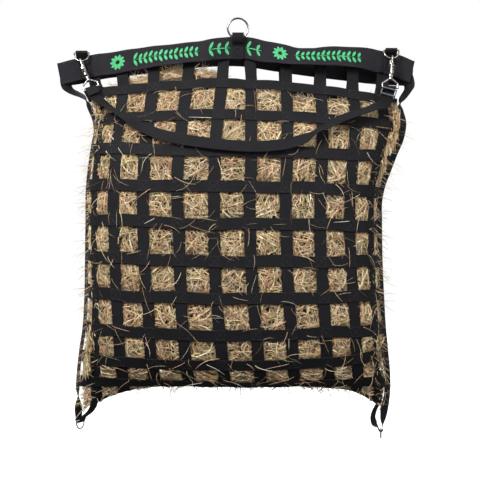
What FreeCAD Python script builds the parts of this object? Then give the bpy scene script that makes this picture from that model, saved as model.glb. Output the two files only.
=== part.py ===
import FreeCAD, Part
import math
import os
from FreeCAD import Matrix, Placement, Vector

# Strap hay net, filled, hanging from its steel ring.
# Millimetres, +Z up, front of the net faces -Y. Origin: centre of the hanging ring.

# ---- driving dimensions ----
STRAP_WIDTH = 25.0
STRAP_THICK = 1.6
BAND_WIDTH = 48.0
BAND_THICK = 2.2
STRAP_PITCH = 75.0
STRAPS_PER_FACE = 10
HALF_BAND = 388.5
LAYER_GAP = 1.0
LAYER_STEP = STRAP_THICK + LAYER_GAP
CROSSING = STRAP_WIDTH / 2 + 3.0
SIDE_STEP = 2 * LAYER_STEP + 0.8

RING_RADIUS = 21.9
RING_WIRE = 2.4

BAND_Y = 5.9
BACK_BAND_Y = 12.0
BACK_BAND_LEAN = 3.0
SEWN_GAP = 0.7

# The net's shape, one value for each row: strap ends, band edge, rows 1 to 10, bottom line.
ROW_Z = [-40, -70, -122, -195, -272, -347, -424, -503, -580, -655, -721, -763, -771]
FRONT_Y = [8.9, 8.9, -22, -62, -95, -106, -108, -108, -106, -98, -78, -44, -6]
BACK_Y = [44, 44, 47, 66, 90, 100, 103, 104, 104, 97, 78, 44, 6]
SIDE_Y = [8.9, 8.9, 9, 4, 0, 0, 0, 0, 0, 0, 0, 0, 0]
LEFT_X = [-350, -343, -325, -301, -308, -317, -318, -319, -320, -324, -333, -338, -339]
RIGHT_X = [350, 350, 342, 350, 323, 299, 297, 298, 301, 305, 310, 315, 312]
CENTRE_X = [-2, -2, -3, -7, -10, -13, -13, -11, -6, 0, 5, 11, 8]
GATHER = [9, 9, 7, 3, 0, 0, 0, 0, 0, 0, 0, 0, 0]
LEFT_DROP = [-50, -52, -17, -13, 6, 4, 11, 13, 13, 12, 14, 10, 0]
RIGHT_DROP = [-50, -62, -42, -21, -16, -12, -6, 0, 6, 10, 24, 10, 0]
EAR_DROP = [0, 0, 0, 0, 0, 0, 0, 0, 0, 0, 0, -10, -65]
GATHER_REACH = 30.0
SIDE_FLAT = 0.07  # flat run of a row strap under the side strap, as a share of the net's depth
FIRST_ROW = 2
ROW_COUNT = 10
BOTTOM_ROW = 12
SHOULDER_POWER = 1.3
TAPER_POWER = 4
BULGE_POWER = 0.6
SAME_WAY = 1  # both edges of a ruled face run the same way

# Front band: x, height of its middle, lean of its top edge towards the back in degrees.
FRONT_BAND = [(-388, -98.3, 0), (-345, -88, 0), (-300, -78, 0), (-230, -67.5, 4), (-150, -57.5, 16),
              (-70, -47.5, 14), (-22, -42, 0), (0, -40.8, 0), (22, -42.3, 0), (55, -49, 10),
              (94, -55, 22), (129, -61.5, 34), (164, -62.5, 33), (187, -60.6, 26), (216, -60, 22),
              (245, -61, 18), (274, -64.5, 8), (297, -69.5, 0), (325, -75.5, 0), (350, -82.5, 0),
              (378, -93, 0)]
BACK_BAND = [(-388, -101), (-345, -91), (-300, -80), (-225, -70), (-150, -60), (-70, -52),
             (10, -51), (85, -62), (160, -73), (230, -82), (300, -91), (345, -95), (381, -98)]

# Top of each side strap: sewn between the bands, then swooping in to the net.
LEFT_SWOOP = [(-374, 9.6, -100), (-374, 9.6, -112), (-372, 9.6, -124), (-364, 9.4, -133.5),
              (-352, 9.2, -139.5), (-338, 9, -146)]
RIGHT_SWOOP = [(366, 9.6, -98), (370, 9.6, -111), (372, 9.6, -123), (369, 9.4, -132.5),
               (363, 9.2, -142), (356, 9, -152)]

# Hay: height, left and right edge, front and back.
HAY = [(-140, -190, 150, -10, 34), (-165, -262, 258, -28, 42), (-200, -276, 296, -48, 54),
       (-270, -290, 290, -80, 80), (-350, -302, 278, -92, 90), (-500, -305, 282, -95, 94),
       (-650, -305, 288, -86, 88), (-710, -290, 275, -69, 71), (-745, -255, 245, -38, 38)]

# Keepers and their D-rings
KEEPER_WIDTH = 25.0
LOOP_RADIUS = 4.2
BAR_Y = -2.5
D_WIRE = 1.6
D_HALF_WIDTH = 15.9
D_LEG = 4.0
D_LEAN = 20.0
LEFT_BAR = Vector(-338, BAR_Y, -53.5)
RIGHT_BAR = Vector(331.4, BAR_Y, -47.6)

# Trigger snap hooks, each in its own frame: +Z along the hook, -Y the side of the bolt,
# origin at the wire of the D-ring that it holds.
LEFT_HOOK_AXIS = Vector(-0.366, 0.24, 0.925)
RIGHT_HOOK_AXIS = Vector(0.087, 0.22, 0.99)
HOOK_TURN = 12.0
HOOK_WIRE = 2.2
HOOK_SLACK = 1.2
CROWN_Z = D_WIRE + HOOK_WIRE + HOOK_SLACK
ARM_Y = 7.0
BOLT_Y = -6.0
BOLT_RADIUS = 2.2
BORE_RADIUS = 2.5
BOLT_TOP = -5.6
BOLT_BOTTOM = -27.0
BORE_BOTTOM = -36.0
BARREL_TOP = -16.0
BARREL_BOTTOM = -38.0
BARREL_RADIUS = 4.8
KNOB_Z = -22.0
KNOB_REACH = 8.0
BOLT_TRAVEL = 8.0
BOSS_RADIUS = 5.2
BOSS_TOP = -32.0
BOSS_BOTTOM = -44.0
STEM_RADIUS = 2.0
HEAD_RADIUS = 3.1
FIT = 0.3
EYE_WIRE = 2.0
EYE_BAR_Z = -67.0
FOLD_RADIUS = EYE_WIRE + STRAP_THICK / 2 + 0.7

# Slide adjuster
ADJUSTER_FROM_BAR = 16.5
ADJUSTER_TURN = 176.0
ADJUSTER_HALF_WIDTH = 15.2
ADJUSTER_LENGTH = 19.0
MIDDLE_BAR_Y = -6.4
END_BAR_Y = 6.6
STRAIGHT_RUN = 30.0
RUN_DIRECTION = Vector(-0.30, -0.48, -0.82)

# Closing strap between the hooks: x, y, z, turn and lean of its width in degrees.
HANGING_RUN = [(-292, -42, -162, 42, 48), (-270, -58, -179, 50, 66), (-236, -77, -202, 56, 62),
               (-202, -87, -222, 62, 34), (-165, -94, -237, 70, 22), (-120, -100, -248, 75, 20),
               (-45, -105, -259, 82, 20), (15, -107, -264, 90, 20), (68, -107, -263, 95, 20),
               (108, -104, -257, 103, 22), (136, -101, -248, 112, 34), (158, -97, -235, 118, 66),
               (174, -91, -226, 120, 66), (194, -84, -215, 121, 52), (228, -74, -199, 118, 48),
               (262, -64, -187, 117, 52), (288, -52, -177, 124, 50)]

# Bottom D-rings
LEFT_CORNER = Vector(-341, 0, -848)
RIGHT_CORNER = Vector(309, 0, -868)
CORNER_WIRE = 1.5
CORNER_HALF_WIDTH = 14.8
CORNER_LEG = 3.0
CORNER_FOLD = 4.3
LEFT_CORNER_TWIST = 25.0
RIGHT_CORNER_TWIST = 8.0


def save(name, shape):
    solids = shape.Solids
    if not solids or not shape.isValid():
        print("CHECK", name, "solids", len(solids), "valid", shape.isValid())
    shape.exportStep("parts/" + name + ".step")


# ---- flat straps ----

def unit(vector):
    return vector * (1.0 / vector.Length)


def tangents(points, closed):
    last = len(points) - 1
    result = []
    for i in range(last + 1):
        before = points[i - 1] if i > 0 or closed else points[0]
        after = points[(i + 1) % (last + 1)] if i < last or closed else points[last]
        result.append(unit(after - before))
    return result


def smooth_edges(points, knots, closed):
    """Edges along one smooth curve: one for an open strap, two halves for a closed loop."""
    curve = Part.BSplineCurve()
    curve.interpolate(Points=points, Parameters=knots, PeriodicFlag=closed)
    if not closed:
        return [curve.toShape()]
    middle = knots[len(knots) // 2]
    return [curve.toShape(knots[0], middle), curve.toShape(middle, knots[-1])]


def ribbon(points, directions, width=STRAP_WIDTH, thick=STRAP_THICK, closed=False, outward=0.0):
    """Solid flat strap. Directions point along its width; outward shifts it along its face."""
    ends = points + [points[0]] if closed else points
    knots = [0.0]
    for first, second in zip(ends, ends[1:]):
        knots.append(knots[-1] + (second - first).Length)
    corners = [[], [], [], []]
    for point, tangent, direction in zip(points, tangents(points, closed), directions):
        normal = unit(tangent.cross(direction))
        across = unit(normal.cross(tangent)) * (width / 2)
        base = point + normal * outward
        half = normal * (thick / 2)
        corners[0].append(base + across + half)
        corners[1].append(base - across + half)
        corners[2].append(base - across - half)
        corners[3].append(base + across - half)
    edges = [smooth_edges(corner, knots, closed) for corner in corners]
    faces = []
    for first, second in zip(edges, edges[1:] + edges[:1]):
        faces += [Part.makeRuledSurface(*pair, SAME_WAY) for pair in zip(first, second)]
    if not closed:
        for end in (0, -1):
            outline = [corner[end] for corner in corners]
            faces.append(Part.Face(Part.makePolygon(outline + outline[:1])))
    shell = Part.makeShell(faces)
    shell.sewShape()
    solid = Part.Solid(shell)
    if solid.Volume < 0:
        solid.reverse()
    return solid


def smooth(values, row):
    """The value at a fractional row, on a smooth curve through the values at whole rows."""
    i = min(int(row), len(values) - 2)
    f = row - i
    a = values[max(i - 1, 0)]
    b = values[i]
    c = values[i + 1]
    d = values[min(i + 2, len(values) - 1)]
    cubic = (3 * b - a - 3 * c + d) * f + (2 * a - 5 * b + 4 * c - d)
    return b + 0.5 * f * ((c - a) + f * cubic)


def net_point(face, along, row):
    """Point of the net's surface: along is measured round the net from the middle of a face."""
    reach = abs(along) / HALF_BAND
    taper = reach ** TAPER_POWER
    centre = smooth(CENTRE_X, row)
    edge = smooth(LEFT_X if along < 0 else RIGHT_X, row)
    gather = smooth(GATHER, row) * (1 - reach) * min(1.0, abs(along) / GATHER_REACH)
    x = centre + math.copysign(abs(along) - gather - (HALF_BAND - abs(edge - centre)) * taper, along)
    side = smooth(SIDE_Y, row)
    y = side + (smooth(face, row) - side) * max(0.0, 1 - taper) ** BULGE_POWER
    shoulder = smooth(LEFT_DROP if along < 0 else RIGHT_DROP, row)
    drop = shoulder * reach ** SHOULDER_POWER + smooth(EAR_DROP, row) * taper
    return Vector(x, y, smooth(ROW_Z, row) + drop)


def vertical_strap(face, along):
    """Strap from the band down to the bottom line, on one face of the net."""
    rows = [0.5 * i for i in range(2 * BOTTOM_ROW + 1)]
    points = [net_point(face, along, row) for row in rows]
    across = [net_point(face, along + 4, row) - net_point(face, along - 4, row) for row in rows]
    return ribbon(points, across)


def strap_position(number):
    """Where vertical strap number 0, 1, 2 and so on lies, measured along the band."""
    return STRAP_PITCH * (number - (STRAPS_PER_FACE - 1) / 2)


def face_stations(face, row):
    """Points of a row strap along one face: it is flat where it crosses each vertical strap."""
    points = []
    for number in range(STRAPS_PER_FACE):
        along = strap_position(number)
        centre = net_point(face, along, row)
        across = unit(net_point(face, along + 4, row) - net_point(face, along - 4, row))
        up = net_point(face, along, row - 0.1) - net_point(face, along, row + 0.1)
        points += [(centre + across * offset, up) for offset in (-CROSSING, 0, CROSSING)]
    return points


def side_outward(sign, row):
    """Direction straight out of the net's side."""
    above = net_point(FRONT_Y, sign * HALF_BAND, row - 0.1)
    down = unit(net_point(FRONT_Y, sign * HALF_BAND, row + 0.1) - above)
    return Vector(-down.z, 0, down.x) * sign


def side_stations(sign, row):
    """Points of a row strap round one side of the net, flat under the side strap, front to back."""
    centre = net_point(FRONT_Y, sign * HALF_BAND, row)
    outward = side_outward(sign, row)
    up = Vector(-outward.z, 0, outward.x) * sign
    flat = min(CROSSING, SIDE_FLAT * (smooth(BACK_Y, row) - smooth(FRONT_Y, row)))
    return [(centre + Vector(0, offset, 0), up) for offset in (-flat, 0, flat)]


def row_strap(row):
    """Strap right round the net, outside the vertical straps."""
    stations = face_stations(FRONT_Y, row) + side_stations(1, row)
    stations += reversed(face_stations(BACK_Y, row))
    stations += reversed(side_stations(-1, row))
    points = [point for point, up in stations]
    return ribbon(points, [up for point, up in stations], closed=True, outward=LAYER_STEP)


def side_strap(sign, swoop, corner, twist):
    """Strap down the side of the net, from the band's end to the fold that holds a D-ring."""
    turns = [(-1, 0, 0), (-1, 0, 0), (-0.97, 0.2, 0.1), (-0.6, 0.7, 0.4), (-0.3, 0.85, 0.45),
             (-0.1, 0.97, 0.2)]
    top = [Vector(x, y, z) for x, y, z in swoop]
    top_across = [Vector(sign * x, y, z) for x, y, z in turns]
    rows = [2.25 + 0.5 * i for i in range(19)]
    body = [net_point(FRONT_Y, sign * HALF_BAND, row) + side_outward(sign, row) * SIDE_STEP
            for row in rows]
    wrap = CORNER_FOLD
    fold = [Vector(-wrap - 0.5, 0, 22), Vector(-wrap, 0, 8), Vector(-wrap, 0, 0), Vector(0, 0, -wrap),
            Vector(wrap, 0, 0), Vector(wrap + 2.5, 0, 7), Vector(14, 0, 16), Vector(24, 0, 25)]
    angle = math.radians(twist)
    turned = Vector(math.sin(angle), math.cos(angle), 0)
    aside = Vector(math.cos(angle), -math.sin(angle), 0) * -sign
    fold = [corner + aside * point.x + Vector(0, 0, point.z) for point in fold]
    points = top + body + fold
    across = top_across + [Vector(0, 1, 0)] * len(body) + [turned] * len(fold)
    return ribbon(points, across)


# ---- top band ----

def front_band():
    half = BAND_WIDTH / 2
    points = []
    across = []
    for x, z, lean in FRONT_BAND:
        angle = math.radians(lean)
        points.append(Vector(x, BAND_Y - half * math.sin(angle), z))
        across.append(Vector(0, math.sin(angle), math.cos(angle)))
    return ribbon(points, across, BAND_WIDTH, BAND_THICK)


def back_band():
    points = []
    for x, z in BACK_BAND:
        bulge = (1 - (abs(x) / HALF_BAND) ** TAPER_POWER) ** BULGE_POWER
        points.append(Vector(x, BACK_BAND_Y + (BACK_Y[0] - FRONT_Y[0] + BACK_BAND_LEAN) * bulge, z))
    across = [Vector(0, -0.04, 1)] * len(points)
    return ribbon(points, across, BAND_WIDTH, BAND_THICK)


def band_plies():
    """Depths of webbing sewn on the front and on the back of the front band."""
    reach = BAND_THICK / 2 + SEWN_GAP + STRAP_THICK / 2
    return BAND_Y - reach, BAND_Y + reach


def ring_tab():
    """Webbing folded over the ring and sewn to both faces of the front band."""
    face, back = band_plies()
    route = [(face, -66), (face, -55), (face, -43), (face - 0.8, -36), (-3.4, -29), (-6.2, -20.5),
             (-5.2, -13.5), (-0.5, -9.6), (4.8, -11.6), (back - 0.3, -16.5), (back, -24), (back, -33),
             (back, -42)]
    points = [Vector(0, y, z) for y, z in route]
    return ribbon(points, [Vector(1, 0, 0)] * len(points))


def hanging_ring():
    return Part.makeTorus(RING_RADIUS, RING_WIRE, Vector(0, 0, 0), Vector(0, 1, 0))


# ---- keepers and D-rings ----

def band_edge(x):
    """Height of the front band's top edge, and the slope of the band, at x."""
    for (x0, z0, lean0), (x1, z1, lean1) in zip(FRONT_BAND, FRONT_BAND[1:]):
        if x0 <= x <= x1:
            slope = math.atan2(z1 - z0, x1 - x0)
            middle = z0 + (z1 - z0) * (x - x0) / (x1 - x0)
            return middle + BAND_WIDTH / 2 / math.cos(slope), slope
    return 0.0, 0.0


def keeper(bar):
    """Webbing over the band's top edge, with a loop in which the D-ring's bar turns."""
    edge, slope = band_edge(bar.x)
    face, back = band_plies()
    low = edge - bar.z
    loop = LOOP_RADIUS
    route = [(face, low - 16, 1), (face, low - 9, 1), (face - 1.4, low - 4.5, 0.6),
             (BAR_Y - loop * 0.4, -loop, 0), (BAR_Y - loop, 0, 0), (BAR_Y - loop * 0.7, loop * 0.7, 0),
             (BAR_Y, loop, 0), (BAR_Y + loop, loop * 0.55, 0), (BAND_Y - 1, low + 3.2, 0.5),
             (back - 0.7, low + 1.4, 0.8), (back, low - 4, 1), (back, low - 9, 1), (back, low - 14, 1)]
    points = []
    across = []
    for y, z, tilt in route:
        angle = slope * tilt
        points.append(Vector(bar.x - z * math.sin(angle), y, bar.z + z * math.cos(angle)))
        across.append(Vector(math.cos(angle), 0, math.sin(angle)))
    return ribbon(points, across, KEEPER_WIDTH)


def d_outline(half_width, leg):
    """Centre line of a D-ring: bar on the X axis, bow hanging below it."""
    left = Vector(-half_width, 0, 0)
    right = Vector(half_width, 0, 0)
    low_left = left + Vector(0, 0, -leg)
    low_right = right + Vector(0, 0, -leg)
    bottom = Vector(0, 0, -leg - half_width)
    bow = Part.Arc(low_left, bottom, low_right).toShape()
    return [Part.makeLine(left, low_left), bow, Part.makeLine(low_right, right)]


def d_ring(half_width, leg, wire):
    start = Vector(-half_width, 0, 0)
    section = Part.Wire(Part.makeCircle(wire, start, Vector(0, 0, 1)))
    bow = Part.Wire(d_outline(half_width, leg)).makePipeShell([section], True, False)
    bar = Part.makeCylinder(wire, 2 * half_width, start, Vector(1, 0, 0))
    corners = [Part.makeSphere(wire, Vector(sign * half_width, 0, 0)) for sign in (-1, 1)]
    return bow.fuse([bar] + corners).removeSplitter()


def top_d_ring(bar):
    ring = d_ring(D_HALF_WIDTH, D_LEG, D_WIRE)
    ring.rotate(Vector(0, 0, 0), Vector(1, 0, 0), -D_LEAN)
    ring.translate(bar)
    return ring


def corner_ring(corner, twist):
    ring = d_ring(CORNER_HALF_WIDTH, CORNER_LEG, CORNER_WIRE)
    ring.rotate(Vector(0, 0, 0), Vector(0, 0, 1), 90 - twist)
    ring.translate(corner)
    return ring


def held_point(bar):
    """Centre of the D-ring's wire at the bottom of its bow, where the hook hangs."""
    depth = D_LEG + D_HALF_WIDTH
    angle = math.radians(D_LEAN)
    return bar + Vector(0, -depth * math.sin(angle), -depth * math.cos(angle))


def hook_axes(axis):
    along = unit(axis)
    sideways = unit(Vector(1, 0, 0) - along * along.x)
    return sideways, along.cross(sideways), along


def hook_frame(bar, axis):
    sideways, back, along = hook_axes(axis)
    origin = held_point(bar)
    return Placement(Matrix(sideways.x, back.x, along.x, origin.x,
                            sideways.y, back.y, along.y, origin.y,
                            sideways.z, back.z, along.z, origin.z))


# ---- snap hook ----

def cylinder(radius, y, bottom, top):
    return Part.makeCylinder(radius, top - bottom, Vector(0, y, bottom))


def hook_arm():
    """Bent rod from the barrel, over the D-ring's wire, to the tip that the bolt meets."""
    middle = (ARM_Y + BOLT_Y) / 2
    radius = (ARM_Y - BOLT_Y) / 2
    shoulder = CROWN_Z - radius
    foot = Vector(0, 1.5, BARREL_TOP - 7)
    bend = Vector(0, ARM_Y, BARREL_TOP + 3)
    arm_top = Vector(0, ARM_Y, shoulder)
    tip_top = Vector(0, BOLT_Y, shoulder)
    tip = Vector(0, BOLT_Y, BOLT_TOP + 0.6)
    crown = Part.Arc(arm_top, Vector(0, middle, CROWN_Z), tip_top).toShape()
    straight = Part.Wire([Part.makeLine(bend, arm_top), crown, Part.makeLine(tip_top, tip)])
    section = Part.Wire(Part.makeCircle(HOOK_WIRE, bend, Vector(0, 0, 1)))
    rod = straight.makePipeShell([section], True, False)
    brace = Part.makeCylinder(HOOK_WIRE, (bend - foot).Length, foot, bend - foot)
    return rod.fuse([brace, Part.makeSphere(HOOK_WIRE, bend)])


def snap_hook():
    """Cast body: bored barrel for the bolt, boss for the swivel and the hook's arm."""
    barrel = cylinder(BARREL_RADIUS, BOLT_Y, BARREL_BOTTOM, BARREL_TOP)
    barrel = barrel.makeFillet(1.0, barrel.Edges)
    boss = cylinder(BOSS_RADIUS, 0, BOSS_BOTTOM, BOSS_TOP)
    boss = boss.makeFillet(1.2, boss.Edges)
    web = Part.makeBox(5.6, 8.5, 16, Vector(-2.8, -5.5, BARREL_BOTTOM))
    body = barrel.fuse([boss, web, hook_arm()])
    bore = cylinder(BORE_RADIUS, BOLT_Y, BORE_BOTTOM, BARREL_TOP + 1)
    slot_low = KNOB_Z - BOLT_TRAVEL - BOLT_RADIUS - FIT
    slot_high = KNOB_Z + BOLT_RADIUS + FIT
    slot_half = BOLT_RADIUS * 0.75 + FIT
    slot = Part.makeBox(2 * slot_half, KNOB_REACH, slot_high - slot_low,
                        Vector(-slot_half, BOLT_Y - KNOB_REACH, slot_low))
    stem_bore = cylinder(STEM_RADIUS + FIT, 0, BOSS_BOTTOM - 1, BOSS_BOTTOM + 5)
    head_space = cylinder(HEAD_RADIUS + FIT, 0, BOSS_BOTTOM + 4, BOSS_BOTTOM + 7.2)
    return body.cut(bore.fuse([slot, stem_bore, head_space]))


def trigger_bolt():
    """Sliding bolt with its thumb knob, shown closed."""
    rod = cylinder(BOLT_RADIUS, BOLT_Y, BOLT_BOTTOM, BOLT_TOP)
    stud = Part.makeCylinder(BOLT_RADIUS * 0.75, KNOB_REACH, Vector(0, BOLT_Y, KNOB_Z), Vector(0, -1, 0))
    pad_start = Vector(0, BOLT_Y - KNOB_REACH + 1.2, KNOB_Z)
    pad = Part.makeCylinder(BOLT_RADIUS, 2.0, pad_start, Vector(0, -1, 0))
    pad = pad.makeFillet(0.6, pad.Edges)
    return rod.fuse([stud, pad])


def bolt_spring():
    """Coil spring that pushes the bolt shut, in the bottom of the bore."""
    wire = 0.3
    coil_radius = 1.75
    low = BORE_BOTTOM + wire + 0.1
    height = BOLT_BOTTOM - wire - 0.1 - low
    helix = Part.makeHelix(height / 6, height, coil_radius)
    helix.translate(Vector(0, BOLT_Y, low))
    start = Vector(coil_radius, BOLT_Y, low)
    section = Part.Wire(Part.makeCircle(wire, start, Vector(0, 1, 0.1)))
    return Part.Wire(helix).makePipeShell([section], True, True)


def rod_between(start, end, radius):
    return Part.makeCylinder(radius, (end - start).Length, start, end - start)


def swivel_eye():
    """Strap eye with the stem that turns in the hook's boss."""
    outline = [(-5, -49), (-16.6, -58), (-16.6, EYE_BAR_Z), (16.6, EYE_BAR_Z), (16.6, -58), (5, -49)]
    corners = [Vector(x, 0, z) for x, z in outline]
    pieces = [Part.makeSphere(EYE_WIRE, corner) for corner in corners]
    for start, end in zip(corners, corners[1:] + corners[:1]):
        pieces.append(rod_between(start, end, EYE_WIRE))
    stem = cylinder(STEM_RADIUS, 0, -49, BOSS_BOTTOM + 6)
    head = cylinder(HEAD_RADIUS, 0, BOSS_BOTTOM + 4 + FIT, BOSS_BOTTOM + 6.6)
    collar = cylinder(BOSS_RADIUS - 0.6, 0, -49.5, BOSS_BOTTOM - 0.5)
    collar = collar.makeFillet(0.8, collar.Edges)
    return pieces[0].fuse(pieces[1:] + [stem, head, collar])


# ---- closing strap ----

def facing(turn, lean=0):
    """Direction of the strap's width: turned in the front plane, then leaned towards the back."""
    angle = math.radians(turn)
    back = math.radians(lean)
    return Vector(math.cos(angle) * math.cos(back), math.sin(back), math.sin(angle) * math.cos(back))


def eye_bar(bar, axis):
    return hook_frame(bar, axis).multVec(Vector(0, 0, EYE_BAR_Z))


def fold(centre, away, across):
    """Three points of a strap's fold over a bar; away points from the bar to the strap."""
    side = unit(away.cross(across)) * FOLD_RADIUS
    return [centre + side, centre - unit(away) * FOLD_RADIUS, centre - side]


def closing_strap():
    left = eye_bar(LEFT_BAR, LEFT_HOOK_AXIS)
    right = eye_bar(RIGHT_BAR, RIGHT_HOOK_AXIS)
    run = unit(RUN_DIRECTION)
    left_across = hook_axes(LEFT_HOOK_AXIS)[0]
    right_across = hook_axes(RIGHT_HOOK_AXIS)[0] * -1
    left_away = unit(Vector(0.45, -0.50, -0.80))
    left_fold = fold(left, left_away, left_across)
    right_fold = fold(right, run, right_across)
    back_ply = left_fold[0]
    start = [(back_ply + left_away * distance, left_across) for distance in (20, 13, 7)]
    start += [(point, left_across) for point in left_fold]
    start += [(left_fold[2] + left_away * 8, left_across), (left_fold[2] + left_away * 18, facing(28, 22))]
    middle = [(Vector(x, y, z), facing(turn, lean)) for x, y, z, turn, lean in HANGING_RUN]
    front_ply = right_fold[0]
    run_points = [(front_ply + run * distance, facing(turn)) for distance, turn in
                  ((STRAIGHT_RUN + 6, 158), (STRAIGHT_RUN - 2, 166), (20, 172), (10, 176))]
    behind = right_fold[2]
    end = [(point, right_across) for point in right_fold]
    end += [(behind + run * distance, right_across) for distance in (5, 10)]
    stations = start + middle + run_points + end
    return ribbon([point for point, across in stations], [across for point, across in stations])


def slide_adjuster():
    """Three-bar slide: end bars in front of the strap, middle bar behind it."""
    run = unit(RUN_DIRECTION)
    level = facing(ADJUSTER_TURN)
    across = unit(level - run * level.dot(run)) * -1
    front = run.cross(across)
    half = ADJUSTER_LENGTH / 2
    rail = ADJUSTER_HALF_WIDTH
    pieces = []
    for side in (-1, 1):
        pieces.append(Part.makeBox(2.4, 8.0, ADJUSTER_LENGTH, Vector(side * rail - 1.2, -4.0, -half)))
    for end in (-1, 1):
        bar_z = end * (half - 1.3)
        pieces.append(rod_between(Vector(-rail, END_BAR_Y, bar_z), Vector(rail, END_BAR_Y, bar_z), 1.3))
        for side in (-1, 1):
            pieces.append(Part.makeBox(2.4, 5.9, 2.6, Vector(side * rail - 1.2, 2.0, bar_z - 1.3)))
    pieces.append(rod_between(Vector(-rail, MIDDLE_BAR_Y, 0), Vector(rail, MIDDLE_BAR_Y, 0), 1.4))
    for side in (-1, 1):
        foot = Vector(side * rail - 1.2, MIDDLE_BAR_Y - 1.4, -1.4)
        pieces.append(Part.makeBox(2.4, 4.4, 2.8, foot))
    frame = pieces[0].fuse(pieces[1:]).removeSplitter()
    centre = eye_bar(RIGHT_BAR, RIGHT_HOOK_AXIS) + run * ADJUSTER_FROM_BAR
    frame.Placement = Placement(Matrix(across.x, front.x, run.x, centre.x,
                                       across.y, front.y, run.y, centre.y,
                                       across.z, front.z, run.z, centre.z))
    return frame


# ---- hay ----

def hay_section(z, left, right, front, back):
    """Closed rounded outline of the hay at one height."""
    points = []
    count = 24
    for i in range(count):
        angle = 2 * math.pi * i / count
        across = math.copysign(abs(math.cos(angle)) ** 0.75, math.cos(angle))
        deep = math.copysign(abs(math.sin(angle)) ** 0.75, math.sin(angle))
        x = (left + right) / 2 + (right - left) / 2 * across
        y = (front + back) / 2 + (back - front) / 2 * deep
        points.append(Vector(x, y, z))
    curve = Part.BSplineCurve()
    curve.interpolate(Points=points, PeriodicFlag=True)
    return Part.Wire(curve.toShape())


def hay_fill():
    return Part.makeLoft([hay_section(*level) for level in HAY], True, False)


# ---- assembly ----

def placed(shape, frame):
    shape.Placement = frame.multiply(shape.Placement)
    return shape


os.makedirs("parts", exist_ok=True)

save("hanging_ring", hanging_ring())
save("ring_tab", ring_tab())
save("front_band", front_band())
save("back_band", back_band())

for number in range(STRAPS_PER_FACE):
    position = strap_position(number)
    save("front_strap_%02d" % (number + 1), vertical_strap(FRONT_Y, position))
    save("back_strap_%02d" % (number + 1), vertical_strap(BACK_Y, position))

for number in range(ROW_COUNT):
    save("row_strap_%02d" % (number + 1), row_strap(FIRST_ROW + number))

save("side_strap_left", side_strap(-1, LEFT_SWOOP, LEFT_CORNER, LEFT_CORNER_TWIST))
save("side_strap_right", side_strap(1, RIGHT_SWOOP, RIGHT_CORNER, RIGHT_CORNER_TWIST))
save("corner_ring_left", corner_ring(LEFT_CORNER, LEFT_CORNER_TWIST))
save("corner_ring_right", corner_ring(RIGHT_CORNER, RIGHT_CORNER_TWIST))

for side_name, bar_centre, hook_axis, turn in (("left", LEFT_BAR, LEFT_HOOK_AXIS, -HOOK_TURN),
                                               ("right", RIGHT_BAR, RIGHT_HOOK_AXIS, HOOK_TURN)):
    eye_place = hook_frame(bar_centre, hook_axis)
    turned = Placement(Vector(0, 0, 0), Vector(0, 0, 1), turn)
    hook_place = eye_place.multiply(turned)
    save("keeper_" + side_name, keeper(bar_centre))
    save("d_ring_" + side_name, top_d_ring(bar_centre))
    save("snap_hook_" + side_name, placed(snap_hook(), hook_place))
    save("trigger_bolt_" + side_name, placed(trigger_bolt(), hook_place))
    save("bolt_spring_" + side_name, placed(bolt_spring(), hook_place))
    save("swivel_eye_" + side_name, placed(swivel_eye(), eye_place))

save("closing_strap", closing_strap())
save("slide_adjuster", slide_adjuster())
save("hay_fill", hay_fill())
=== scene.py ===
import bpy
import math
import numpy as np
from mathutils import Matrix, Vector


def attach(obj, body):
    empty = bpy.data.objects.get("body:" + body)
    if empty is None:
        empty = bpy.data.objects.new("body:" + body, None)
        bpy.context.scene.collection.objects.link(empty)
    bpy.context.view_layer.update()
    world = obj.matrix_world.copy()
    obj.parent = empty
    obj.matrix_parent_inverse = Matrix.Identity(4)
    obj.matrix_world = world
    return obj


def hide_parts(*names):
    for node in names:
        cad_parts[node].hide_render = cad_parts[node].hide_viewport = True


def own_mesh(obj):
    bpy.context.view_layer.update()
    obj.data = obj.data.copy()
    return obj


# Looks of the strap hay net. Metres, +Z up, front faces -Y, origin at the hanging ring.
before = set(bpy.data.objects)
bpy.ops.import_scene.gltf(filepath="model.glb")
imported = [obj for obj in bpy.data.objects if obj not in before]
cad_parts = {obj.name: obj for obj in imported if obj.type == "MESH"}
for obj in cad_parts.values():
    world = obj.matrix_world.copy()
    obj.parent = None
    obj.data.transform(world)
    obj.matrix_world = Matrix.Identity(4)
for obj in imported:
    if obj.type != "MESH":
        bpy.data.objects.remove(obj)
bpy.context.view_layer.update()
random = np.random.default_rng(867)

# ---- driving dimensions, as in the design ----
MM = 0.001
STRAP_WIDTH = 0.025
STRAP_THICK = 0.0016
BAND_WIDTH = 0.048
BAND_THICK = 0.0022
STRAP_PITCH = 0.075
STRAPS_PER_FACE = 10
HALF_BAND = 0.3885
LAYER_STEP = 0.0026
SIDE_STEP = 2 * LAYER_STEP + 0.0008
ROW_SUNK = 0.0005  # how far sewing pulls the rows in at a crossing
BAND_Y = 0.0059
BACK_BAND_Y = 0.012
SEWN_GAP = 0.0007
TAPER_POWER = 4
BULGE_POWER = 0.6
SHOULDER_POWER = 1.3
GATHER_REACH = 0.030
FIRST_ROW = 2
ROW_COUNT = 10
BOTTOM_ROW = 12

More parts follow.
